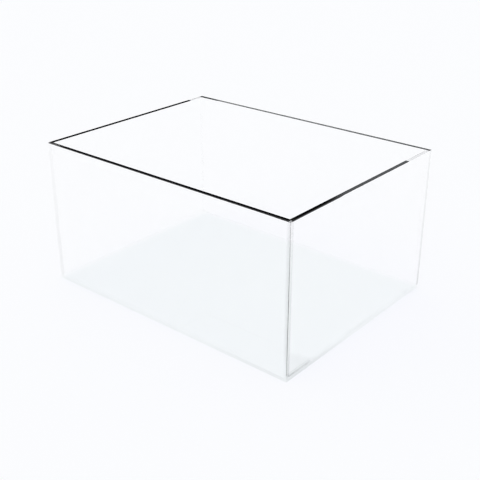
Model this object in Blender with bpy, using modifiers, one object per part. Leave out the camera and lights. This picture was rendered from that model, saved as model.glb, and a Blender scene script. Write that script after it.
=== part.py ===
"""An open-topped display box of clear cast acrylic.

Five flat panels are cut from sheet and joined edge to face with solvent cement. The base panel has the
box's full footprint and the four walls stand on it. The front and back walls run the full length, and the
left and right walls fit between them. Edges that are glued stay square, and edges that stay exposed have a
small polished arris. Units are metres and +Z is up. The origin is the centre of the underside.
"""

import math

import bmesh
import bpy
from mathutils import Matrix, Vector

# Outside of the box
BOX_LENGTH = 0.400
BOX_DEPTH = 0.300
BOX_HEIGHT = 0.200

# Sheet and joints
WALL_THICKNESS = 0.005
BASE_THICKNESS = 0.005
CEMENT_LINE = 0.0003

# Polished arris on each exposed edge
ARRIS = 0.0004
ARRIS_SEGMENTS = 3

# Look of the bare sheet
SHEET_COLOUR = (0.955, 0.975, 0.985, 1.0)
SHEET_ROUGHNESS = 0.03
SHEET_IOR = 1.49

# Sides of a panel as it lies flat on the bench: its outer face is up, and a wall's rim points away
START = (-1, 0, 0)
END = (1, 0, 0)
FOOT = (0, -1, 0)
RIM = (0, 1, 0)
INNER = (0, 0, -1)
OUTER = (0, 0, 1)

# Edges that stay exposed once the box is glued, each named by the two sides that meet there
RIM_EDGES = [(RIM, OUTER), (RIM, INNER)]
END_EDGES = [(RIM, START), (RIM, END), (START, OUTER), (END, OUTER)]
BASE_CORNERS = [(FOOT, START), (FOOT, END), (RIM, START), (RIM, END)]
UNDERSIDE_EDGES = [(side, OUTER) for side in (START, END, FOOT, RIM)]


def clear_scene():
    for item in list(bpy.data.objects):
        bpy.data.objects.remove(item, do_unlink=True)


def clear_acrylic(name):
    """Clear cast sheet with polished faces."""
    material = bpy.data.materials.new(name)
    material.use_nodes = True
    shader = material.node_tree.nodes["Principled BSDF"]
    shader.inputs["Base Color"].default_value = SHEET_COLOUR
    shader.inputs["Metallic"].default_value = 0
    shader.inputs["Roughness"].default_value = SHEET_ROUGHNESS
    shader.inputs["IOR"].default_value = SHEET_IOR
    shader.inputs["Transmission Weight"].default_value = 1
    return material


def sides_at(edge):
    return {tuple(round(value) for value in face.normal) for face in edge.link_faces}


def cut_panel(name, length, width, thickness, exposed, collection):
    """A rectangle of sheet, lying flat about its own centre, with an arris on each exposed edge."""
    panel = bmesh.new()
    bmesh.ops.create_cube(panel, size=1)
    bmesh.ops.scale(panel, vec=Vector((length, width, thickness)), verts=panel.verts)
    panel.normal_update()
    weight = panel.edges.layers.float.new("bevel_weight_edge")
    polished = [set(pair) for pair in exposed]
    for edge in panel.edges:
        edge[weight] = float(sides_at(edge) in polished)
    mesh = bpy.data.meshes.new(name)
    panel.to_mesh(mesh)
    panel.free()
    mesh.materials.append(clear_acrylic(name + "_acrylic"))

    item = bpy.data.objects.new(name, mesh)
    collection.objects.link(item)
    bevel = item.modifiers.new("arris", "BEVEL")
    bevel.limit_method = "WEIGHT"
    bevel.offset_type = "OFFSET"
    bevel.width = ARRIS
    bevel.segments = ARRIS_SEGMENTS
    return item


def add_base(collection):
    """The base lies with its outer face down, as the underside of the box."""
    base = cut_panel(
        "base_panel",
        BOX_LENGTH,
        BOX_DEPTH,
        BASE_THICKNESS,
        UNDERSIDE_EDGES + BASE_CORNERS,
        collection,
    )
    base.rotation_euler = (math.pi, 0, 0)
    base.location = (0, 0, BASE_THICKNESS / 2)
    return base


def add_wall(name, heading, length, reach, exposed, collection):
    """A wall raised on the base. Heading turns it about +Z from the front, and reach is its outer face's
    distance from the middle of the box."""
    height = BOX_HEIGHT - BASE_THICKNESS - CEMENT_LINE
    wall = cut_panel(name, length, height, WALL_THICKNESS, exposed, collection)
    outward = Matrix.Rotation(heading, 3, "Z") @ Vector(FOOT)
    centre = outward * (reach - WALL_THICKNESS / 2)
    centre.z = BOX_HEIGHT - height / 2
    wall.rotation_euler = (math.pi / 2, 0, heading)
    wall.location = centre
    return wall


def add_walls(collection):
    """Two long walls, and two short walls that fit between them with a cement line at each end."""
    between = BOX_DEPTH - 2 * (WALL_THICKNESS + CEMENT_LINE)
    long_edges = RIM_EDGES + END_EDGES
    quarter = math.pi / 2
    return [
        add_wall("front_wall", 0, BOX_LENGTH, BOX_DEPTH / 2, long_edges, collection),
        add_wall("right_wall", quarter, between, BOX_LENGTH / 2, RIM_EDGES, collection),
        add_wall("back_wall", 2 * quarter, BOX_LENGTH, BOX_DEPTH / 2, long_edges, collection),
        add_wall("left_wall", 3 * quarter, between, BOX_LENGTH / 2, RIM_EDGES, collection),
    ]


def main():
    clear_scene()
    collection = bpy.data.collections.new("acrylic_box")
    bpy.context.scene.collection.children.link(collection)
    middle = bpy.data.objects.new("underside_centre", None)
    collection.objects.link(middle)
    for panel in [add_base(collection)] + add_walls(collection):
        panel.parent = middle


main()
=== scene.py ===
"""Looks of an open-topped display box of clear cast acrylic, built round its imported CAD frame.

The five sheets keep their CAD meshes and get polished cast acrylic. The solvent cement that joins them is
modelled here. Units are metres and +Z is up.
"""

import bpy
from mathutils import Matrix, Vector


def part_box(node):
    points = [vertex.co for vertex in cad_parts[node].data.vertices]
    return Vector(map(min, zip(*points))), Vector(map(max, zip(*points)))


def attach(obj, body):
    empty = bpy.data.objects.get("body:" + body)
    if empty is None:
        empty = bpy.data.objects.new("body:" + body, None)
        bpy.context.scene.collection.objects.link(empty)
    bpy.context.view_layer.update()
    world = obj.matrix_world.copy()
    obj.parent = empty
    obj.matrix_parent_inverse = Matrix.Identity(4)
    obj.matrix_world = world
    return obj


bl_info = {
    "name": "Clear Acrylic Box",
    "version": (1, 0, 0),
    "blender": (4, 5, 0),
    "location": "3D View > Sidebar > Acrylic Box",
    "description": "Finishes an open box of clear cast acrylic and sets it on a pale studio floor",
    "category": "Object",
}

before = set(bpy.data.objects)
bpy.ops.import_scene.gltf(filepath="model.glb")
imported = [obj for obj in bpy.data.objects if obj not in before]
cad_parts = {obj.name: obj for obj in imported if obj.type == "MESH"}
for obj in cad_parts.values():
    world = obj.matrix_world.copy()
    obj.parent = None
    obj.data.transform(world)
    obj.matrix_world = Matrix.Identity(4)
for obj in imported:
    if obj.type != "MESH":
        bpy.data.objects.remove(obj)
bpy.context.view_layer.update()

import math

import bmesh
import bpy
from bpy.props import FloatProperty, FloatVectorProperty, PointerProperty
from bpy.types import Operator, Panel, PropertyGroup
from mathutils import Matrix, Vector

BODY = "root"
MM = 0.001
WALLS = ("front_wall", "back_wall", "left_wall", "right_wall")
BASE = "base_panel"
X_SIDES = (("left", -1), ("right", 1))
Y_SIDES = (("front", -1), ("back", 1))

# The frame's own sizes, which the looks and the new pieces start from
FRONT_LO, FRONT_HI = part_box("front_wall")
RIGHT_LO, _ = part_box("right_wall")
_, BASE_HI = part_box(BASE)
HALF_LENGTH = FRONT_HI.x
HALF_DEPTH = -FRONT_LO.y
RIM_HEIGHT = FRONT_HI.z
WALL = FRONT_HI.y - FRONT_LO.y
BASE_TOP = BASE_HI.z
FOOT_HEIGHT = FRONT_LO.z
JOINT_GAP = RIGHT_LO.y - FRONT_HI.y


def linear(hex_colour):
    """An sRGB hex value as the linear colour that shaders take."""
    channels = [int(hex_colour[i:i + 2], 16) / 255 for i in (1, 3, 5)]
    return tuple(c / 12.92 if c <= 0.04045 else ((c + 0.055) / 1.055) ** 2.4 for c in channels)


def colour_property(name, description, hex_colour):
    """A colour setting whose default is an sRGB hex value."""
    return FloatVectorProperty(
        name=name,
        description=description,
        default=linear(hex_colour),
        subtype="COLOR",
        min=0.0,
        max=1.0,
    )


def share_property(name, description, default):
    """A setting from 0, none, to 1, all."""
    return FloatProperty(
        name=name,
        description=description,
        default=default,
        min=0.0,
        max=1.0,
        subtype="FACTOR",
    )


class SheetSettings(PropertyGroup):
    ior: FloatProperty(
        name="IOR",
        description="Refractive index of acrylic",
        default=1.49,
        min=1.0,
        max=2.0,
    )
    wall_tint: colour_property("Wall tint", "What a wall lets through to the eye", "#FFFFFF")
    wall_lamp_tint: colour_property("Wall lamp tint", "What a wall lets through to the floor", "#FCFCFF")
    # The base's eye tint is partly the sheet's faint cool tone and partly painted shade on the floor seen
    # through it
    base_tint: colour_property("Base tint", "What the base lets through to the eye", "#FDFEFC")
    base_lamp_tint: colour_property("Base lamp tint", "What the base lets through to the floor", "#FAFCFD")
    polish: share_property("Face polish", "Roughness of the cast face", 0.02)
    wall_gloss: FloatProperty(
        name="Wall gloss",
        description="Share of Fresnel's mirror that a wall's face shows",
        default=0.6,
        min=0.0,
        max=2.0,
        subtype="FACTOR",
    )
    base_gloss: FloatProperty(
        name="Base gloss",
        description="Share of Fresnel's mirror that the base's upper face shows",
        default=0.5,
        min=0.0,
        max=2.0,
        subtype="FACTOR",
    )
    wave: FloatProperty(
        name="Casting wave",
        description="Length of the faint waves that a cell-cast face has",
        default=35 * MM,
        unit="LENGTH",
    )
    wave_height: FloatProperty(
        name="Wave height",
        description="Height of the casting waves",
        default=0.004 * MM,
        unit="LENGTH",
    )


# Most edge settings shape painted shade and light: the near-black edge colour, dark rims with painted
# lighter ends and corners, dark arrises, shaded strips at the corners, the base's shaded sides and its
# lighter far edges
class EdgeSettings(PropertyGroup):
    # Painted shade: the edges' near-black colour stands for light trapped inside the sheet, not the
    # acrylic's own colour
    colour: colour_property("Edge colour", "Sheet seen end-on, where its light is trapped", "#050607")
    arris: FloatProperty(
        name="Arris",
        description="Width of the polished arris on each exposed edge",
        default=0.4 * MM,
        unit="LENGTH",
    )
    polish: share_property("Edge polish", "Roughness of the sawn and polished edge", 0.05)
    front_shoulder: FloatProperty(
        name="Front shoulder",
        description="How far below its arris the front wall's rim still looks dark",
        default=0.62 * MM,
        unit="LENGTH",
    )
    left_shoulder: FloatProperty(
        name="Left shoulder",
        description="How far below its arris the left wall's rim still looks dark",
        default=0.28 * MM,
        unit="LENGTH",
    )
    back_shoulder: FloatProperty(
        name="Back shoulder",
        description="How far below its arris the back wall's rim still looks dark at its left end",
        default=0.25 * MM,
        unit="LENGTH",
    )
    right_shoulder: FloatProperty(
        name="Right shoulder",
        description="How far below its arris the right wall's rim still looks dark",
        default=0.36 * MM,
        unit="LENGTH",
    )
    corner_shoulder: FloatProperty(
        name="Right shoulder at the front",
        description="The right wall's shoulder in its front third",
        default=0.98 * MM,
        unit="LENGTH",
    )
    left_light: FloatProperty(
        name="Left light end",
        description="Length of the left rim's clear end, where light comes in through the back joint",
        default=31 * MM,
        unit="LENGTH",
    )
    right_light: FloatProperty(
        name="Right light end",
        description="Length of the right rim's clear end, where light comes in through the back joint",
        default=58 * MM,
        unit="LENGTH",
    )
    light_end: share_property("Light end", "How dark the clear end of a short rim still is", 0.15)
    back_rim: share_property(
        "Back rim",
        "How dark the back wall's rim is, but for a short stretch at its left end",
        0.9,
    )
    front_end: share_property(
        "Front rim's left end",
        "How dark the front wall's rim is over a short stretch at its left end",
        0.9,
    )
    tip: share_property(
        "Rim corner",
        "How dark the rim is at its very corners, where light comes in from two sides",
        0.6,
    )
    corner_top: share_property(
        "Corner at the top",
        "How dark an upright corner's arris is at the rim",
        0.33,
    )
    corner_middle: share_property(
        "Corner at half height",
        "How dark an upright corner's arris is from half height down",
        0.7,
    )
    far_corner: share_property(
        "Far corners",
        "How dark the arrises of the left and right corners are, against the near one",
        0.12,
    )
    end_top: share_property(
        "End at the top",
        "How much the sawn end of a long wall hides at the rim",
        0.085,
    )
    end_foot: share_property(
        "End at the foot",
        "How much the sawn end of a long wall hides at the foot",
        0.16,
    )
    near_strip: share_property(
        "Near strip",
        "How much the front wall hides at its right end, where the right wall lies behind it",
        0.2,
    )
    left_strip: share_property(
        "Left strip",
        "How much the front wall hides at its left end, where the left wall lies behind it",
        0.075,
    )
    base_side: share_property("Base side", "How much the base's sawn side hides", 0.032)
    far_fade: FloatProperty(
        name="Far fade",
        description="Width over which the base's tint fades out at its left and back edges",
        default=5 * MM,
        unit="LENGTH",
    )
    mirrored_share: share_property(
        "Mirrored edge",
        "How much of an edge's darkness shows where the base mirrors it",
        0.3,
    )
    lamp_share: share_property(
        "Edge shadow",
        "How much of an edge's darkness also keeps light from the floor",
        0.1,
    )
    mark_spacing: FloatProperty(
        name="Polishing marks",
        description="Spacing of the fine marks that the buffing wheel leaves across an edge",
        default=0.6 * MM,
        unit="LENGTH",
    )


class CementSettings(PropertyGroup):
    inset: FloatProperty(
        name="Inset",
        description="How far the cement stops short of the outer faces",
        default=0.15 * MM,
        unit="LENGTH",
    )
    bead: FloatProperty(
        name="Bead",
        description="How far the cement stands proud inside the box",
        default=0.35 * MM,
        unit="LENGTH",
    )
    clearance: FloatProperty(
        name="Clearance",
        description="Room between the cement film and each face that it joins",
        default=0.02 * MM,
        unit="LENGTH",
    )
    step: FloatProperty(
        name="Step",
        description="Spacing of the bead's cuts along a joint",
        default=4 * MM,
        unit="LENGTH",
    )
    waver: FloatProperty(
        name="Waver",
        description="How much the bead wanders in and out",
        default=0.12 * MM,
        unit="LENGTH",
    )
    colour: colour_property("Cement colour", "Set solvent cement", "#C9CED2")
    haze: share_property("Haze", "How much of what is behind it a cement line hides", 0.0055)
    bubble: FloatProperty(
        name="Bubble spacing",
        description="Spacing of the tiny bubbles held in the joint",
        default=2.2 * MM,
        unit="LENGTH",
    )
    # The dry stretch paints its empty gap dark as painted shade, and darkens a faint wedge of the right
    # wall above it
    dry_length: FloatProperty(
        name="Dry stretch",
        description="Length of the right foot joint, from the front corner, that took no cement",
        default=47 * MM,
        unit="LENGTH",
    )
    dry_height: FloatProperty(
        name="Dry haze height",
        description="Height of the faint haze on the right wall over the dry stretch",
        default=34 * MM,
        unit="LENGTH",
    )
    dry_darkening: share_property("Dry haze", "How much that haze hides, and the empty gap below it", 0.055)


class StageSettings(PropertyGroup):
    floor_colour: colour_property("Floor", "Matt white paper", "#FBFCFE")
    floor_size: FloatProperty(
        name="Floor size",
        description="Width of the floor",
        default=24.0,
        unit="LENGTH",
    )
    floor_drop: FloatProperty(
        name="Floor drop",
        description="How far the floor lies below the underside, so the two faces don't coincide",
        default=0.1 * MM,
        unit="LENGTH",
    )
    light: FloatProperty(
        name="Light",
        description="Strength of the soft sky light on the open floor",
        default=1.005,
        min=0.0,
    )
    light_lean: share_property(
        "Light lean",
        "How much stronger the sky light is on the side it comes from",
        1.0,
    )
    light_azimuth: FloatProperty(
        name="Light azimuth",
        description="Side the light comes from, from +Y towards -X",
        default=math.radians(115),
        subtype="ANGLE",
    )
    light_elevation: FloatProperty(
        name="Light elevation",
        description="Height of the stronger sky light",
        default=math.radians(15),
        subtype="ANGLE",
    )
    flag_colour: colour_property("Flag", "Black cloth that the polished edges mirror", "#040404")
    side_colour: colour_property("Side panel", "Grey reflector past the end of the black cloth", "#C8CCD0")


class CameraSettings(PropertyGroup):
    location: FloatVectorProperty(
        name="Location",
        description="Where the camera stands",
        default=(0.66842, -0.78739, 0.54886),
        subtype="TRANSLATION",
        unit="LENGTH",
    )
    heading: FloatProperty(
        name="Heading",
        description="Turn from +Y towards -X",
        default=math.radians(40.134),
        subtype="ANGLE",
    )
    pitch: FloatProperty(
        name="Pitch",
        description="How far the camera looks down",
        default=math.radians(25.100),
        subtype="ANGLE",
    )
    roll: FloatProperty(
        name="Roll",
        description="Tilt of the picture",
        default=math.radians(0.032),
        subtype="ANGLE",
    )
    lens: FloatProperty(
        name="Lens",
        description="Focal length in millimetres",
        default=62.51,
        min=1.0,
        unit="CAMERA",
    )
    sensor: FloatProperty(
        name="Sensor",
        description="Sensor width in millimetres",
        default=36.0,
        min=1.0,
        unit="CAMERA",
    )


class AcrylicBoxSettings(PropertyGroup):
    sheet: PointerProperty(type=SheetSettings)
    edge: PointerProperty(type=EdgeSettings)
    cement: PointerProperty(type=CementSettings)
    stage: PointerProperty(type=StageSettings)
    camera: PointerProperty(type=CameraSettings)


# Places, fades and shares that the looks use beside the settings above

# A point within the skin of an outer plane lies on that face, and the other widths are those over which
# a mask changes: at that skin, beside a long wall's faces, and from one wall to the opposite one
FACE_SKIN = 0.05 * MM
FACE_FADE = 0.04 * MM
LONG_WALL_FADE = 0.05 * MM
OPPOSITE_FADE = 2 * MM

# Wipe marks are finer than the casting waves, and a polish strays between two shares of its setting
WIPES_PER_WAVE = 4
FACE_POLISH_SHARES = (0.5, 1.8)
EDGE_POLISH_SHARES = (0.4, 1.6)

# Rims' painted shade: how far each stretch that looks different reaches from its corner, how wide its
# change is, and by what share its painted shade differs
FRONT_END_REACH = 24 * MM
BACK_END_REACH = 37 * MM
END_FADE = 2 * MM
BACK_RISE_SHARE = 1.08
LIGHT_FADE = MM
FRONT_SHOULDER_SHARES = (0.9, 1.1)
NEAR_SHOULDER_REACH = 40 * MM
NEAR_SHOULDER_SHARE = 1.5
CORNER_SHOULDER_REACH = 95 * MM
CORNER_SHOULDER_FADE = 10 * MM
RIM_FADE = 0.2 * MM
TIP_REACH = 2.8 * MM
TIP_FADE = 0.6 * MM
LEFT_TIP_SHARE = 0.6
BACK_TIP_SHARE = 0.95

# Painted shade on the upright arrises: their width against the arris, the height where they darken, and
# their lighter feet
ARRIS_WIDTH_SHARE = 1.3
ARRIS_FADE = 0.02 * MM
ARRIS_MIDDLE_SHARE = 0.55
ARRIS_FOOT_REACH = 30 * MM
ARRIS_FOOT_SHARE = 0.6
ARRIS_TOE_REACHES = (2 * MM, 5 * MM)
ARRIS_TOE_SHARE = 0.15

# Painted shade in strips beside the upright corners, with widths against the sheet's thickness
END_HEIGHTS = (15 * MM, 45 * MM)
END_FOOT_SHARE = 1.35
NEAR_WIDTH_SHARE = 1.16
NEAR_HEIGHTS = (20 * MM, 45 * MM)
NEAR_FOOT_SHARE = 0.45
LEFT_WIDTH_SHARE = 1.3
LEFT_WIDTH_FADE = 2 * MM
LEFT_START = 0.5 * MM
LEFT_START_FADE = 1.5 * MM
LEFT_HEIGHT = 40 * MM
LEFT_TOP_SHARE = 0.47

# Base: slopes as the z of a face's normal, and how the painted shade on its sides clears away from the near
# corner
UNDERSIDE_Z = -0.5
SIDE_Z = 0.2
TOP_Z = 0.9
SIDE_REACHES = (10 * MM, 150 * MM)
FRONT_SIDE_SHARE = 2.5
RIGHT_SIDE_SHARE = 4.9

# Cement: a bubble's radius against the spacing, and how its haze strays
BUBBLE_SHARE = 0.16
BUBBLE_FADE_SHARE = 0.06
BUBBLE_HAZE_SHARE = 2.2
CLOUD_SPACING = 9 * MM
CLOUD_HAZE_SHARES = (0.7, 1.3)
CEMENT_POLISH = 0.25

# Bead: its rounding against the film's thickness, and the two waves that make it wander
ROUNDING_SHARE = 1 / 3
LONG_SWAY = 7.3 * MM
SHORT_SWAY = 3.1 * MM
SWAY_SHIFT = 1.7

# Darker wedge on the right wall over the dry stretch, whose edge wanders
WEDGE_LENGTH_SHARE = 1.1
WEDGE_EDGE_SHARE = 0.88
WEDGE_FADE_SHARE = 0.24
WEDGE_CLOUD = 14 * MM
WEDGE_WANDER_SHARE = 0.3

# Dry stretch: where the empty gap's painted shade starts and ends, its painted dark lip, and the painted
# dark line in its depth
DRY_TOP_FADE = 0.05 * MM
DRY_INNER_BEADS = 2
DRY_INNER_FADE = 0.1 * MM
DRY_CORNER_FADE = 0.4 * MM
DRY_END_FADE = MM
DRY_LIP_DEPTH = 0.1 * MM
DRY_LIP_FADE = 0.02 * MM
DRY_LIP_SHARE = 0.5
DRY_LINE_PLACE_SHARE = 0.26
DRY_LINE_INNER = 1.2 * MM
DRY_LINE_OUTER = 0.4 * MM
DRY_LINE_FADE = 0.4 * MM
DRY_LINE_DARK_SHARE = 0.14
DRY_CLOSING_SHARES = (1.15, 0.68)

# Black cloth, as the rims mirror it: azimuths from +Y towards -X and elevations, in degrees
CLOTH_FOOT = 14.0
CLOTH_TOP_EDGE = ((54.0, 19.2), (34.0, 25.4))
CLOTH_SIDE_EDGE = ((42.5, 15.4), (33.0, 22.0))
CLOTH_WITHIN = (50.0, 17.0)
CLOTH_FADE = 0.012
CLOTH_SIDE_FADE = 0.016

# Stage: the share of a sky's lean that a level floor gathers, the floor's grid, the nearest thing that
# the camera shows, how many faces of sheets and films a ray may pass, and a pixel filter narrow enough
# to keep the thin rims crisp
LEVEL_SHARE = 2 / 3
FLOOR_CELLS = 8
NEAREST_VIEW = 10 * MM
CLEAR_SURFACES = 48
FILTER_WIDTH = 1.4


# Shader nodes


def add_node(tree, kind, links=None, **settings):
    """Adds a node, sets its own settings, and gives each named or numbered input a value or an output."""
    node = tree.nodes.new(kind)
    for name, value in settings.items():
        setattr(node, name, value)
    for key, value in (links or {}).items():
        if isinstance(value, bpy.types.NodeSocket):
            tree.links.new(value, node.inputs[key])
        else:
            node.inputs[key].default_value = value
    return node


def colour4(colour):
    """A colour with the alpha that a node's socket takes."""
    return (*colour, 1.0)


def one_face(colour):
    """The share of a sheet's tint that each of its two faces takes."""
    return (*(channel ** 0.5 for channel in colour), 1.0)


def new_material(name):
    """An empty material with its output node."""
    material = bpy.data.materials.new(name)
    material.use_nodes = True
    tree = material.node_tree
    tree.nodes.clear()
    output = add_node(tree, "ShaderNodeOutputMaterial")
    return material, tree, output


def product(tree, *values):
    """Multiplies shares together."""
    result = values[0]
    for value in values[1:]:
        result = add_node(tree, "ShaderNodeMath", {0: result, 1: value}, operation="MULTIPLY").outputs[0]
    return result


def greatest(tree, *values):
    """The largest of several shares."""
    result = values[0]
    for value in values[1:]:
        result = add_node(tree, "ShaderNodeMath", {0: result, 1: value}, operation="MAXIMUM").outputs[0]
    return result


def between(tree, value, low, high, at_low, at_high):
    """A share that goes from at_low to at_high as value goes from low to high."""
    ends = {"Value": value, "From Min": low, "From Max": high, "To Min": at_low, "To Max": at_high}
    return add_node(tree, "ShaderNodeMapRange", ends).outputs[0]


def change_at(tree, value, place, fade, before, after):
    """A share or a length that changes over a short fade with place in its middle."""
    return between(tree, value, place - fade / 2, place + fade / 2, before, after)


def straying(tree, pattern, setting, shares):
    """A setting that strays with a pattern, between two shares of itself."""
    return between(tree, pattern, 0, 1, setting * shares[0], setting * shares[1])


def inside_from(tree, value, start, fade):
    """0 below start and 1 from start + fade."""
    ends = {"Value": value, "From Min": start, "From Max": start + fade}
    return add_node(tree, "ShaderNodeMapRange", ends, interpolation_type="SMOOTHSTEP").outputs[0]


def below(tree, value, end, fade):
    """1 below end and 0 from end + fade."""
    ends = {"Value": value, "From Min": end, "From Max": end + fade, "To Min": 1.0, "To Max": 0.0}
    return add_node(tree, "ShaderNodeMapRange", ends, interpolation_type="SMOOTHSTEP").outputs[0]


def lamp_ray(tree):
    """1 for rays that carry light to other things, such as the floor, and 0 for rays that the eye sees."""
    path = add_node(tree, "ShaderNodeLightPath")
    return greatest(tree, path.outputs["Is Shadow Ray"], path.outputs["Is Diffuse Ray"])


def outer_side(tree):
    """1 where a ray meets a sheet from outside it, and 0 where it leaves the sheet."""
    leaving = add_node(tree, "ShaderNodeNewGeometry").outputs["Backfacing"]
    return between(tree, leaving, 0, 1, 1, 0)


def places(tree):
    """Where a point of the surface lies in the box's frame."""
    point = add_node(tree, "ShaderNodeTexCoord").outputs["Object"]
    x, y, z = add_node(tree, "ShaderNodeSeparateXYZ", {0: point}).outputs
    return {"point": point, "x": x, "y": y, "z": z}


def wall_places(tree):
    """The same on a wall, with its distances from the box's middle and the faces that it lies on."""
    place = places(tree)
    for axis in ("x", "y"):
        distance = add_node(tree, "ShaderNodeMath", {0: place[axis]}, operation="ABSOLUTE")
        place[f"out_{axis}"] = distance.outputs[0]
    place["end_face"] = inside_from(tree, place["out_x"], HALF_LENGTH - FACE_SKIN, FACE_FADE)
    place["long_face"] = inside_from(tree, place["out_y"], HALF_DEPTH - FACE_SKIN, FACE_FADE)
    long_wall = HALF_DEPTH - WALL - JOINT_GAP / 2
    place["long_wall"] = inside_from(tree, place["out_y"], long_wall, LONG_WALL_FADE)
    return place


def sheet_shader(tree, point, sheet, tint, lamp_tint, gloss_share, shade):
    """Polished sheet: what is behind it comes straight through, and its front mirrors by Fresnel's law."""
    lamps = lamp_ray(tree)
    tints = {0: lamps, 6: tint, 7: lamp_tint}
    pane = add_node(tree, "ShaderNodeMix", tints, data_type="RGBA")
    # shade mixes black into what comes through, which paints shade on the sheet
    dimmed = {0: shade, 6: pane.outputs[2], 7: (0, 0, 0, 1)}
    passed = add_node(tree, "ShaderNodeMix", dimmed, data_type="RGBA").outputs[2]
    clear = add_node(tree, "ShaderNodeBsdfTransparent", {0: passed})

    waves = add_node(tree, "ShaderNodeTexNoise", {"Vector": point, "Scale": 1 / sheet.wave, "Detail": 2.0})
    lie = {"Strength": 1.0, "Distance": sheet.wave_height, "Height": waves.outputs[0]}
    bump = add_node(tree, "ShaderNodeBump", lie).outputs[0]
    finer = WIPES_PER_WAVE / sheet.wave
    wipes = add_node(tree, "ShaderNodeTexNoise", {"Vector": point, "Scale": finer, "Detail": 6.0})
    roughness = straying(tree, wipes.outputs[0], sheet.polish, FACE_POLISH_SHARES)
    gloss = add_node(
        tree,
        "ShaderNodeBsdfPrincipled",
        {"Base Color": (1, 1, 1, 1), "Metallic": 1.0, "Roughness": roughness, "Normal": bump},
    )

    fresnel = add_node(tree, "ShaderNodeFresnel", {"IOR": sheet.ior}).outputs[0]
    front = product(tree, outer_side(tree), between(tree, lamps, 0, 1, 1, 0))
    share = product(tree, fresnel, gloss_share, front)
    mixed = add_node(tree, "ShaderNodeMixShader", {0: share, 1: clear.outputs[0], 2: gloss.outputs[0]})
    return mixed.outputs[0]


def painted_dark_edge_shader(tree, point, edge, ior):
    """Sawn and buffed edge: glossy, with a near-black painted shade colour that stands for the light
    trapped inside the sheet.
    """
    marks = add_node(
        tree,
        "ShaderNodeTexNoise",
        {"Vector": point, "Scale": 1 / edge.mark_spacing, "Detail": 3.0},
    )
    roughness = straying(tree, marks.outputs[0], edge.polish, EDGE_POLISH_SHARES)
    shader = add_node(
        tree,
        "ShaderNodeBsdfPrincipled",
        {"Base Color": colour4(edge.colour), "Roughness": roughness, "IOR": ior},
    )
    return shader.outputs[0]


def per_wall(tree, place, front, back, left, right):
    """Picks a share or a length by the wall that a point lies on."""
    short = change_at(tree, place["x"], 0, OPPOSITE_FADE, left, right)
    long = change_at(tree, place["y"], 0, OPPOSITE_FADE, front, back)
    picked = {0: place["long_wall"], 2: short, 3: long}
    return add_node(tree, "ShaderNodeMix", picked, data_type="FLOAT").outputs[0]


def painted_rim_shade(tree, place, edge):
    """Painted shade on the rim: black, with painted light that clears it near the back ends of the short
    walls and softens it at corners.
    """
    x, y = place["x"], place["y"]
    front = change_at(tree, x, -HALF_LENGTH + FRONT_END_REACH, END_FADE, edge.front_end, 1)
    back = product(
        tree,
        change_at(tree, x, -HALF_LENGTH + BACK_END_REACH, END_FADE, 1, edge.back_rim),
        between(tree, x, 0, HALF_LENGTH, 1, BACK_RISE_SHARE),
    )
    left_end = HALF_DEPTH - edge.left_light
    left = between(tree, y, left_end, left_end + LIGHT_FADE, 1, edge.light_end)
    right_end = HALF_DEPTH - edge.right_light
    right = between(tree, y, right_end, right_end + LIGHT_FADE, 1, edge.light_end)
    dark = per_wall(tree, place, front, back, left, right)

    at_left, at_right = (edge.front_shoulder * share for share in FRONT_SHOULDER_SHARES)
    front_shoulder = product(
        tree,
        between(tree, x, -HALF_LENGTH, HALF_LENGTH, at_left, at_right),
        between(tree, x, HALF_LENGTH - NEAR_SHOULDER_REACH, HALF_LENGTH, 1, NEAR_SHOULDER_SHARE),
    )
    back_shoulder = change_at(tree, x, -HALF_LENGTH + BACK_END_REACH, END_FADE, edge.back_shoulder, 0)
    third = -HALF_DEPTH + CORNER_SHOULDER_REACH
    shoulders = (edge.corner_shoulder, edge.right_shoulder)
    right_shoulder = change_at(tree, y, third, CORNER_SHOULDER_FADE, *shoulders)
    shoulder = per_wall(tree, place, front_shoulder, back_shoulder, edge.left_shoulder, right_shoulder)
    lifted = add_node(tree, "ShaderNodeMath", {0: place["z"], 1: shoulder}, operation="ADD").outputs[0]
    on_rim = inside_from(tree, lifted, RIM_HEIGHT - edge.arris, RIM_FADE)

    tip_x = inside_from(tree, place["out_x"], HALF_LENGTH - TIP_REACH, TIP_FADE)
    tip_y = inside_from(tree, place["out_y"], HALF_DEPTH - TIP_REACH, TIP_FADE)
    front_tip = between(tree, x, -HALF_LENGTH, HALF_LENGTH, edge.tip * LEFT_TIP_SHARE, edge.tip)
    tip = between(tree, y, -HALF_DEPTH, HALF_DEPTH, front_tip, BACK_TIP_SHARE)
    softer = between(tree, product(tree, tip_x, tip_y), 0, 1, 1, tip)
    return product(tree, on_rim, dark, softer)


def painted_arris_shade(tree, place, edge, outer):
    """Painted shade on the upright corners' arrises: darkest at the near corner, and from half height down.
    """
    x, y, z = place["x"], place["y"], place["z"]
    width = edge.arris * ARRIS_WIDTH_SHARE
    at_x = inside_from(tree, place["out_x"], HALF_LENGTH - width, ARRIS_FADE)
    at_y = inside_from(tree, place["out_y"], HALF_DEPTH - width, ARRIS_FADE)
    middle = RIM_HEIGHT * ARRIS_MIDDLE_SHARE
    depth = between(tree, z, middle, RIM_HEIGHT, edge.corner_middle, edge.corner_top)
    foot = between(tree, z, FOOT_HEIGHT, FOOT_HEIGHT + ARRIS_FOOT_REACH, ARRIS_FOOT_SHARE, 1)
    toe_low, toe_high = (FOOT_HEIGHT + reach for reach in ARRIS_TOE_REACHES)
    toe = between(tree, z, toe_low, toe_high, ARRIS_TOE_SHARE, 1)
    rightness = between(tree, x, -HALF_LENGTH, HALF_LENGTH, edge.far_corner, 1)
    frontness = between(tree, y, -HALF_DEPTH, HALF_DEPTH, 1, edge.far_corner)
    return product(tree, at_x, at_y, outer, depth, foot, toe, rightness, frontness)


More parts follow.
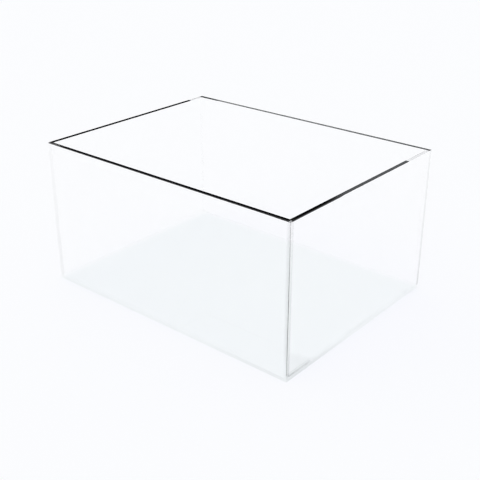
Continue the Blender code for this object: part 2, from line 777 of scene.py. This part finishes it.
def painted_corner_shade(tree, place, edge, outer):
    """Painted shade on the faces at a corner: strips where a sawn end or the next wall's end lies behind
    them.
    """
    x, z = place["x"], place["z"]
    level = between(tree, z, FOOT_HEIGHT, RIM_HEIGHT, edge.end_foot, edge.end_top)
    deeper = between(tree, z, *END_HEIGHTS, END_FOOT_SHARE, 1)
    ends = product(tree, place["end_face"], place["long_wall"], level, deeper, outer)

    widening = between(tree, x, HALF_LENGTH - WALL * NEAR_WIDTH_SHARE, HALF_LENGTH, 0, edge.near_strip)
    low = between(tree, z, *NEAR_HEIGHTS, NEAR_FOOT_SHARE, 1)
    near = product(tree, place["long_face"], widening, low, outer)

    stops = below(tree, x, -HALF_LENGTH + WALL * LEFT_WIDTH_SHARE, LEFT_WIDTH_FADE)
    starts = inside_from(tree, x, -HALF_LENGTH + LEFT_START, LEFT_START_FADE)
    height = between(tree, z, LEFT_HEIGHT, RIM_HEIGHT, edge.left_strip, edge.left_strip * LEFT_TOP_SHARE)
    left = product(tree, place["long_face"], starts, stops, height, outer)
    return greatest(tree, ends, near, left)


def dry_shade(tree, place, cement):
    """Faint darkening on the outside of the right wall, in a ragged wedge over the dry stretch of its
    joint.
    """
    outside = inside_from(tree, place["x"], HALF_LENGTH - FACE_SKIN, FACE_FADE)
    length = cement.dry_length * WEDGE_LENGTH_SHARE
    along = between(tree, place["y"], -HALF_DEPTH, -HALF_DEPTH + length, 0, 1)
    up = between(tree, place["z"], FOOT_HEIGHT, FOOT_HEIGHT + cement.dry_height, 0, 1)
    cloud = add_node(
        tree,
        "ShaderNodeTexNoise",
        {"Vector": place["point"], "Scale": 1 / WEDGE_CLOUD, "Detail": 4.0},
    )
    wander = between(tree, cloud.outputs[0], 0, 1, -WEDGE_WANDER_SHARE, WEDGE_WANDER_SHARE)
    reach = add_node(tree, "ShaderNodeMath", {0: along, 1: up}, operation="ADD").outputs[0]
    ragged = add_node(tree, "ShaderNodeMath", {0: reach, 1: wander}, operation="ADD").outputs[0]
    wedge = below(tree, ragged, WEDGE_EDGE_SHARE, WEDGE_FADE_SHARE)
    return product(tree, outside, wedge, cement.dry_darkening)


def wall_acrylic(settings):
    """Clear cast acrylic with sawn and polished edges: the faces show what is behind, with painted shade in
    strips at the corners and a faint darker wedge on the right wall, and the rims and arrises are painted
    dark.
    """
    material, tree, output = new_material("cast_acrylic_wall")
    sheet, edge = settings.sheet, settings.edge
    place = wall_places(tree)
    outer = outer_side(tree)
    glossy_ray = add_node(tree, "ShaderNodeLightPath").outputs["Is Glossy Ray"]
    for_eye = product(
        tree,
        between(tree, lamp_ray(tree), 0, 1, 1, edge.lamp_share),
        between(tree, glossy_ray, 0, 1, 1, edge.mirrored_share),
    )
    # Painted shade on the faces: strips at the corners, and a faint darker wedge on the right wall
    shade = greatest(tree, painted_corner_shade(tree, place, edge, outer), dry_shade(tree, place, settings.cement))
    faces = sheet_shader(
        tree,
        place["point"],
        sheet,
        one_face(sheet.wall_tint),
        one_face(sheet.wall_lamp_tint),
        sheet.wall_gloss,
        product(tree, shade, for_eye),
    )
    # Painted shade: the rims and upright arrises are painted near black, shown fully to the eye and less
    # where the base mirrors them
    dark = greatest(tree, painted_rim_shade(tree, place, edge), painted_arris_shade(tree, place, edge, outer))
    edges = painted_dark_edge_shader(tree, place["point"], edge, sheet.ior)
    mixed = {0: product(tree, dark, for_eye), 1: faces, 2: edges}
    shader = add_node(tree, "ShaderNodeMixShader", mixed).outputs[0]
    tree.links.new(shader, output.inputs[0])
    return material


def base_acrylic(settings):
    """Clear cast acrylic lying on the floor: the floor's white shows through with a faint cool tint, partly
    painted shade, which fades to white as painted light at the left and back edges; its top mirrors the
    walls, and painted shade greys its sawn sides near the front corner."""
    material, tree, output = new_material("cast_acrylic_base")
    sheet, edge = settings.sheet, settings.edge
    place = places(tree)
    normal = add_node(tree, "ShaderNodeNewGeometry").outputs["True Normal"]
    turned = add_node(tree, "ShaderNodeSeparateXYZ", {0: normal}).outputs
    rightward, upward = (
        add_node(tree, "ShaderNodeMath", {0: turned[axis]}, operation="ABSOLUTE").outputs[0]
        for axis in (0, 2)
    )

    # Painted light: the tint fades to white over far_fade at the left and back edges, so those edges look
    # lighter
    from_left = inside_from(tree, place["x"], -HALF_LENGTH, edge.far_fade)
    from_back = below(tree, place["y"], HALF_DEPTH - edge.far_fade, edge.far_fade)
    tints = {0: product(tree, from_left, from_back), 6: (1, 1, 1, 1), 7: one_face(sheet.base_tint)}
    tint = add_node(tree, "ShaderNodeMix", tints, data_type="RGBA").outputs[2]

    # The underside lies on the floor and mirrors nothing
    above = add_node(tree, "ShaderNodeMath", {0: turned[2], 1: UNDERSIDE_Z}, operation="GREATER_THAN")
    gloss_share = product(tree, above.outputs[0], sheet.base_gloss)

    # Painted shade greys the sawn sides, deepest near the front-right corner
    upright = between(tree, upward, SIDE_Z, TOP_Z, 1, 0)
    near_corner = (HALF_LENGTH, -HALF_DEPTH, 0)
    apart = {0: place["point"], 1: near_corner}
    away = add_node(tree, "ShaderNodeVectorMath", apart, operation="DISTANCE").outputs["Value"]
    front_side, right_side = edge.base_side * FRONT_SIDE_SHARE, edge.base_side * RIGHT_SIDE_SHARE
    deepest = between(tree, rightward, 0, 1, front_side, right_side)
    near, far = SIDE_REACHES
    ends = {"Value": away, "From Min": near, "From Max": far, "To Min": deepest, "To Max": edge.base_side}
    shade = add_node(tree, "ShaderNodeMapRange", ends, interpolation_type="SMOOTHERSTEP").outputs[0]
    for_eye = between(tree, lamp_ray(tree), 0, 1, 1, 0)
    painted_side_shade = product(tree, upright, shade, for_eye, outer_side(tree))
    faces = sheet_shader(
        tree,
        place["point"],
        sheet,
        tint,
        one_face(sheet.base_lamp_tint),
        gloss_share,
        painted_side_shade,
    )
    tree.links.new(faces, output.inputs[0])
    return material


def painted_gap_shade(tree, place, settings):
    """Painted shade in the gap where the right foot joint took no cement: a dark lip and a dark line behind
    it.
    """
    cement = settings.cement
    x, y = place["x"], place["y"]
    in_joint = below(tree, place["z"], FOOT_HEIGHT, DRY_TOP_FADE)
    inner = HALF_LENGTH - WALL - DRY_INNER_BEADS * cement.bead
    on_right = inside_from(tree, x, inner, DRY_INNER_FADE)
    past_corner = inside_from(tree, y, -HALF_DEPTH + WALL, DRY_CORNER_FADE)
    before_end = below(tree, y, -HALF_DEPTH + cement.dry_length, DRY_END_FADE)
    dry = product(tree, in_joint, on_right, past_corner, before_end)

    lip = inside_from(tree, x, HALF_LENGTH - cement.inset - DRY_LIP_DEPTH, DRY_LIP_FADE)
    middle = HALF_LENGTH - WALL * DRY_LINE_PLACE_SHARE
    line = product(
        tree,
        inside_from(tree, x, middle - DRY_LINE_INNER, DRY_LINE_FADE),
        below(tree, x, middle + DRY_LINE_OUTER, DRY_LINE_FADE),
    )
    film = between(tree, line, 0, 1, cement.dry_darkening, DRY_LINE_DARK_SHARE)
    levels = {0: lip, 2: film, 3: DRY_LIP_SHARE}
    level = add_node(tree, "ShaderNodeMix", levels, data_type="FLOAT").outputs[0]
    closing = between(tree, y, -HALF_DEPTH, -HALF_DEPTH + cement.dry_length, *DRY_CLOSING_SHARES)
    return product(tree, dry, level, closing)


def set_cement(settings):
    """Set solvent cement: clear film with a faint grey haze and tiny bubbles, so a joint shows as a soft
    line. Where the joint is dry, the empty gap is painted near black with the edges' painted shade."""
    material, tree, output = new_material("set_solvent_cement")
    cement, sheet = settings.cement, settings.sheet
    place = places(tree)
    point = place["point"]
    bubbles = add_node(tree, "ShaderNodeTexVoronoi", {"Vector": point, "Scale": 1 / cement.bubble})
    around = inside_from(tree, bubbles.outputs["Distance"], BUBBLE_SHARE, BUBBLE_FADE_SHARE)
    clouds = {"Vector": point, "Scale": 1 / CLOUD_SPACING, "Detail": 4.0}
    cloud = add_node(tree, "ShaderNodeTexNoise", clouds).outputs[0]
    haze = straying(tree, cloud, cement.haze, CLOUD_HAZE_SHARES)
    hazes = {0: around, 2: cement.haze * BUBBLE_HAZE_SHARE, 3: haze}
    hazy = add_node(tree, "ShaderNodeMix", hazes, data_type="FLOAT").outputs[0]
    for_eye = between(tree, lamp_ray(tree), 0, 1, 1, 0)
    share = product(tree, hazy, for_eye)
    clear = add_node(tree, "ShaderNodeBsdfTransparent", {0: (1, 1, 1, 1)})
    film = add_node(
        tree,
        "ShaderNodeBsdfPrincipled",
        {"Base Color": colour4(cement.colour), "Roughness": CEMENT_POLISH, "IOR": sheet.ior},
    )
    mixed = add_node(tree, "ShaderNodeMixShader", {0: share, 1: clear.outputs[0], 2: film.outputs[0]})

    # The dry gap is painted with the edges' near-black painted shade
    trapped = painted_dark_edge_shader(tree, point, settings.edge, sheet.ior)
    gap = {0: product(tree, painted_gap_shade(tree, place, settings), for_eye), 1: mixed.outputs[0], 2: trapped}
    tree.links.new(add_node(tree, "ShaderNodeMixShader", gap).outputs[0], output.inputs[0])
    return material


def floor_paper(settings):
    """Matt white background paper: an even pale ground that keeps the box's shadow."""
    material, tree, output = new_material("matt_white_paper")
    shader = add_node(
        tree,
        "ShaderNodeBsdfPrincipled",
        {"Base Color": colour4(settings.stage.floor_colour), "Roughness": 1.0, "Specular IOR Level": 0.0},
    )
    tree.links.new(shader.outputs[0], output.inputs[0])
    return material


# Pieces


def dress(name, material):
    """Gives a CAD node its material, and fails if the node has no slot for it."""
    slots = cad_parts[name].material_slots
    if not slots:
        raise RuntimeError(f"{name} has no material slot")
    for slot in slots:
        slot.material = material


def finish_piece(name, mesh_data, material):
    """Turns a bmesh into an object of the scene with one material."""
    mesh = bpy.data.meshes.new(name)
    mesh_data.to_mesh(mesh)
    mesh_data.free()
    mesh.materials.append(material)
    piece = bpy.data.objects.new(name, mesh)
    bpy.context.scene.collection.objects.link(piece)
    return piece


def lengthwise(film, run, length):
    """The film's edges that follow its joint."""
    return [e for e in film.edges if abs((e.verts[0].co - e.verts[1].co)[run]) > length / 2]


def cement_line(name, lo, hi, run, proud, cement, material):
    """A film of cement that fills a joint along one axis and stands proud on one side as a soft bead.
    run is the axis it follows, and proud the axis and sign of its free side."""
    side, sign = proud
    size = hi - lo
    middle = (lo + hi) / 2
    film = bmesh.new()
    bmesh.ops.create_cube(film, size=1)
    bmesh.ops.scale(film, vec=size, verts=film.verts)
    bmesh.ops.translate(film, vec=middle, verts=film.verts)
    film.normal_update()
    along = lengthwise(film, run, size[run])
    free = [e for e in along if (e.verts[0].co[side] - middle[side]) * sign > 0]
    thickness = size[3 - run - side]
    bmesh.ops.bevel(
        film,
        geom=free,
        offset=thickness * ROUNDING_SHARE,
        offset_type="OFFSET",
        segments=2,
        profile=0.5,
        affect="EDGES",
        material=-1,
    )
    cuts = int(size[run] / cement.step)
    along = lengthwise(film, run, size[run])
    bmesh.ops.subdivide_edges(film, edges=along, cuts=cuts, use_grid_fill=True)
    edge_at = (hi if sign > 0 else lo)[side]
    for vert in film.verts:
        if abs(vert.co[side] - edge_at) < cement.bead:
            place = vert.co[run]
            sway = math.sin(place / LONG_SWAY) + math.sin(place / SHORT_SWAY + SWAY_SHIFT)
            vert.co[side] += sign * cement.waver * sway / 2
    bmesh.ops.recalc_face_normals(film, faces=film.faces)
    piece = finish_piece(name, film, material)
    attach(piece, BODY)
    return piece


class ACRYLICBOX_OT_walls(Operator):
    """Gives the four walls their polished faces and painted dark edges"""

    bl_idname = "acrylicbox.walls"
    bl_label = "Finish Walls"

    def execute(self, context):
        material = wall_acrylic(context.scene.acrylic_box)
        for name in WALLS:
            dress(name, material)
        return {"FINISHED"}


class ACRYLICBOX_OT_base(Operator):
    """Gives the base its clear sheet"""

    bl_idname = "acrylicbox.base"
    bl_label = "Finish Base"

    def execute(self, context):
        dress(BASE, base_acrylic(context.scene.acrylic_box))
        return {"FINISHED"}


class ACRYLICBOX_OT_cement(Operator):
    """Builds the cement lines at the walls' feet and corners"""

    bl_idname = "acrylicbox.cement"
    bl_label = "Cement Lines"

    def execute(self, context):
        settings = context.scene.acrylic_box
        cement = settings.cement
        material = set_cement(settings)
        outer_x = HALF_LENGTH - cement.inset
        inner_x = HALF_LENGTH - WALL - cement.bead
        outer_y = HALF_DEPTH - cement.inset
        inner_y = HALF_DEPTH - WALL - cement.bead
        low = BASE_TOP + cement.clearance
        high = FOOT_HEIGHT - cement.clearance
        end = HALF_DEPTH - WALL - JOINT_GAP
        gap_ends = (end + cement.clearance, end + JOINT_GAP - cement.clearance)
        for x_name, x_sign in X_SIDES:
            for y_name, y_sign in Y_SIDES:
                xs = sorted((x_sign * inner_x, x_sign * outer_x))
                ys = sorted(y_sign * gap_end for gap_end in gap_ends)
                lo = Vector((xs[0], ys[0], FOOT_HEIGHT))
                hi = Vector((xs[1], ys[1], RIM_HEIGHT - cement.inset))
                name = f"corner_cement_{y_name}_{x_name}"
                cement_line(name, lo, hi, 2, (0, -x_sign), cement, material)
        for y_name, y_sign in Y_SIDES:
            ys = sorted((y_sign * inner_y, y_sign * outer_y))
            lo = Vector((-outer_x, ys[0], low))
            hi = Vector((outer_x, ys[1], high))
            cement_line(f"foot_cement_{y_name}", lo, hi, 0, (1, -y_sign), cement, material)
        for x_name, x_sign in X_SIDES:
            xs = sorted((x_sign * inner_x, x_sign * outer_x))
            lo = Vector((xs[0], -end, low))
            hi = Vector((xs[1], end, high))
            cement_line(f"foot_cement_{x_name}", lo, hi, 1, (0, -x_sign), cement, material)
        return {"FINISHED"}


def build_floor(settings):
    """Matt paper, laid just under the box."""
    stage = settings.stage
    paper = bmesh.new()
    bmesh.ops.create_grid(
        paper,
        x_segments=FLOOR_CELLS,
        y_segments=FLOOR_CELLS,
        size=stage.floor_size / 2,
    )
    bmesh.ops.translate(paper, vec=Vector((0, 0, -stage.floor_drop)), verts=paper.verts)
    floor = finish_piece("studio_floor", paper, floor_paper(settings))


def sky_direction(azimuth, elevation):
    """A direction from its azimuth, from +Y towards -X, and its elevation."""
    flat = math.cos(elevation)
    return Vector((-math.sin(azimuth) * flat, math.cos(azimuth) * flat, math.sin(elevation)))


def cloth_share(tree, direction, edge, fade):
    """1 on the cloth's side of a straight edge through two places of the sky, and 0 past the edge."""
    first, second, within = (
        sky_direction(math.radians(azimuth), math.radians(elevation))
        for azimuth, elevation in (*edge, CLOTH_WITHIN)
    )
    normal = first.cross(second).normalized()
    if normal.dot(within) < 0:
        normal.negate()
    side = add_node(tree, "ShaderNodeVectorMath", {0: direction, 1: normal}, operation="DOT_PRODUCT")
    return inside_from(tree, side.outputs["Value"], -fade / 2, fade)


def sky_shader(tree, direction, stage):
    """Soft light all round that is stronger on one side."""
    source = sky_direction(stage.light_azimuth, stage.light_elevation)
    lean = add_node(tree, "ShaderNodeVectorMath", {0: direction, 1: source}, operation="DOT_PRODUCT")
    even = stage.light / (1 + stage.light_lean * source.z * LEVEL_SHARE)
    weakest, strongest = even * (1 - stage.light_lean), even * (1 + stage.light_lean)
    level = between(tree, lean.outputs["Value"], -1, 1, weakest, strongest)
    return add_node(tree, "ShaderNodeBackground", {0: (1, 1, 1, 1), 1: level}).outputs[0]


def studio_shader(tree, direction, stage):
    """What the gloss mirrors: a white studio with a band of black cloth and a grey panel past its end."""
    height = add_node(tree, "ShaderNodeSeparateXYZ", {0: direction}).outputs[2]
    above_foot = inside_from(tree, height, math.sin(math.radians(CLOTH_FOOT)), CLOTH_FADE)
    under_top = cloth_share(tree, direction, CLOTH_TOP_EDGE, CLOTH_FADE)
    cloth = cloth_share(tree, direction, CLOTH_SIDE_EDGE, CLOTH_SIDE_FADE)
    hung = {0: cloth, 6: colour4(stage.side_colour), 7: colour4(stage.flag_colour)}
    band = add_node(tree, "ShaderNodeMix", hung, data_type="RGBA").outputs[2]
    mirrored = {0: product(tree, above_foot, under_top), 6: colour4(stage.floor_colour), 7: band}
    shown = add_node(tree, "ShaderNodeMix", mirrored, data_type="RGBA").outputs[2]
    return add_node(tree, "ShaderNodeBackground", {0: shown, 1: 1.0}).outputs[0]


def build_world(settings):
    """A soft sky lights the scene, the floor's white fills the view, and the gloss mirrors a studio."""
    stage = settings.stage
    world = bpy.data.worlds.new("soft_studio")
    bpy.context.scene.world = world
    world.use_nodes = True
    tree = world.node_tree
    tree.nodes.clear()
    direction = add_node(tree, "ShaderNodeTexCoord").outputs["Generated"]
    rays = add_node(tree, "ShaderNodeLightPath").outputs
    sky = sky_shader(tree, direction, stage)
    view = add_node(tree, "ShaderNodeBackground", {0: colour4(stage.floor_colour), 1: 1.0})
    studio = studio_shader(tree, direction, stage)
    seen = greatest(tree, rays["Is Camera Ray"], rays["Is Transmission Ray"])
    lit = add_node(tree, "ShaderNodeMixShader", {0: seen, 1: sky, 2: view.outputs[0]})
    final = add_node(tree, "ShaderNodeMixShader", {0: rays["Is Glossy Ray"], 1: lit.outputs[0], 2: studio})
    add_node(tree, "ShaderNodeOutputWorld", {0: final.outputs[0]})


def build_camera(settings):
    """The photograph's viewpoint, fitted to the box's eight corners."""
    view = settings.camera
    flat = Vector((-math.sin(view.heading), math.cos(view.heading), 0))
    forward = flat * math.cos(view.pitch) - Vector((0, 0, math.sin(view.pitch)))
    right = Vector((math.cos(view.heading), math.sin(view.heading), 0))
    up = right.cross(forward)
    tilt = Matrix.Rotation(-view.roll, 3, forward)
    axes = Matrix((tilt @ right, tilt @ up, -forward)).transposed().to_4x4()
    axes.translation = view.location
    data = bpy.data.cameras.new("camera")
    data.lens = view.lens
    data.sensor_width = view.sensor
    data.clip_start = NEAREST_VIEW
    camera = bpy.data.objects.new("camera", data)
    camera.matrix_world = axes
    bpy.context.scene.collection.objects.link(camera)
    bpy.context.scene.camera = camera


class ACRYLICBOX_OT_stage(Operator):
    """Lays the floor, sets the studio light and places the camera"""

    bl_idname = "acrylicbox.stage"
    bl_label = "Set Stage"

    def execute(self, context):
        settings = context.scene.acrylic_box
        build_floor(settings)
        build_world(settings)
        build_camera(settings)
        context.scene.view_settings.view_transform = "Standard"
        context.scene.cycles.transparent_max_bounces = CLEAR_SURFACES
        context.scene.cycles.filter_width = FILTER_WIDTH
        return {"FINISHED"}


class ACRYLICBOX_PT_sidebar(Panel):
    bl_label = "Acrylic Box"
    bl_idname = "ACRYLICBOX_PT_sidebar"
    bl_space_type = "VIEW_3D"
    bl_region_type = "UI"
    bl_category = "Acrylic Box"

    def draw(self, context):
        for operator in OPERATORS:
            self.layout.operator(operator.bl_idname)
        settings = context.scene.acrylic_box
        for group in (settings.sheet, settings.edge, settings.cement, settings.stage, settings.camera):
            box = self.layout.box()
            for name in group.bl_rna.properties.keys():
                if name not in ("rna_type", "name"):
                    box.prop(group, name)


OPERATORS = (ACRYLICBOX_OT_stage, ACRYLICBOX_OT_walls, ACRYLICBOX_OT_base, ACRYLICBOX_OT_cement)
GROUPS = (SheetSettings, EdgeSettings, CementSettings, StageSettings, CameraSettings, AcrylicBoxSettings)
CLASSES = (*GROUPS, *OPERATORS, ACRYLICBOX_PT_sidebar)


def register():
    for item in CLASSES:
        bpy.utils.register_class(item)
    bpy.types.Scene.acrylic_box = PointerProperty(type=AcrylicBoxSettings)


def unregister():
    del bpy.types.Scene.acrylic_box
    for item in reversed(CLASSES):
        bpy.utils.unregister_class(item)


def main():
    register()
    bpy.ops.acrylicbox.stage()
    bpy.ops.acrylicbox.walls()
    bpy.ops.acrylicbox.base()
    bpy.ops.acrylicbox.cement()


if __name__ == "__main__":
    main()
